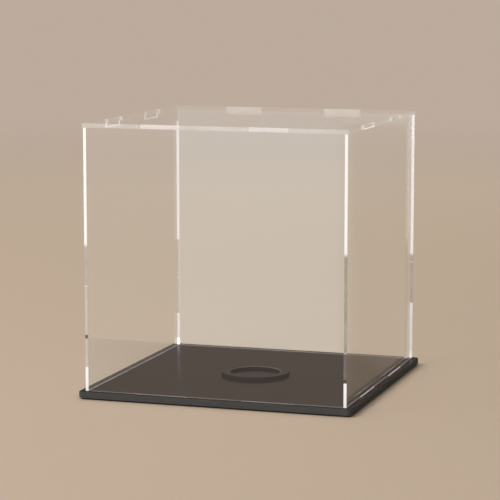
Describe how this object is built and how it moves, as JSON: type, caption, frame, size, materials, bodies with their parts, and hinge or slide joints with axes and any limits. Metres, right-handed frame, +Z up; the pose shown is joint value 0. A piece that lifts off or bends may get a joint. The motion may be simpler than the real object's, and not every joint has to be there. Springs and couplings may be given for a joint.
{
  "type": "acrylic display case",
  "caption": "Clear acrylic display case with tabbed walls and a lift-off top panel, on a slotted glossy black base with a seat ring for a round item and rubber feet.",
  "frame": {"origin": "middle of the footprint, on the surface that the rubber feet stand on", "axes": "+Z up; the front faces -Y; +X is to the right seen from the front"},
  "size_m": [0.272, 0.272, 0.2655],
  "materials": {
    "clear_acrylic": "clear, polished faces, bright laser-cut edges",
    "black_acrylic": "polished black",
    "foot_rubber": "matte"
  },
  "bodies": {
    "base": {"base_plate": "black_acrylic", "base_backing": "black_acrylic", "display_ring": "black_acrylic", "foot_front_left": "foot_rubber", "foot_front_right": "foot_rubber", "foot_back_left": "foot_rubber", "foot_back_right": "foot_rubber"},
    "cover": {"front_panel": "clear_acrylic", "back_panel": "clear_acrylic", "left_panel": "clear_acrylic", "right_panel": "clear_acrylic"},
    "top": {"top_panel": "clear_acrylic"}
  },
  "joints": [
    {"name": "cover_lift", "type": "slide", "parent": "base", "child": "cover", "axis": [0, 0, 1], "range_m": [0, 0.27]},
    {"name": "top_lift", "type": "slide", "parent": "cover", "child": "top", "axis": [0, 0, 1], "range_m": [0, 0.26]}
  ]
}
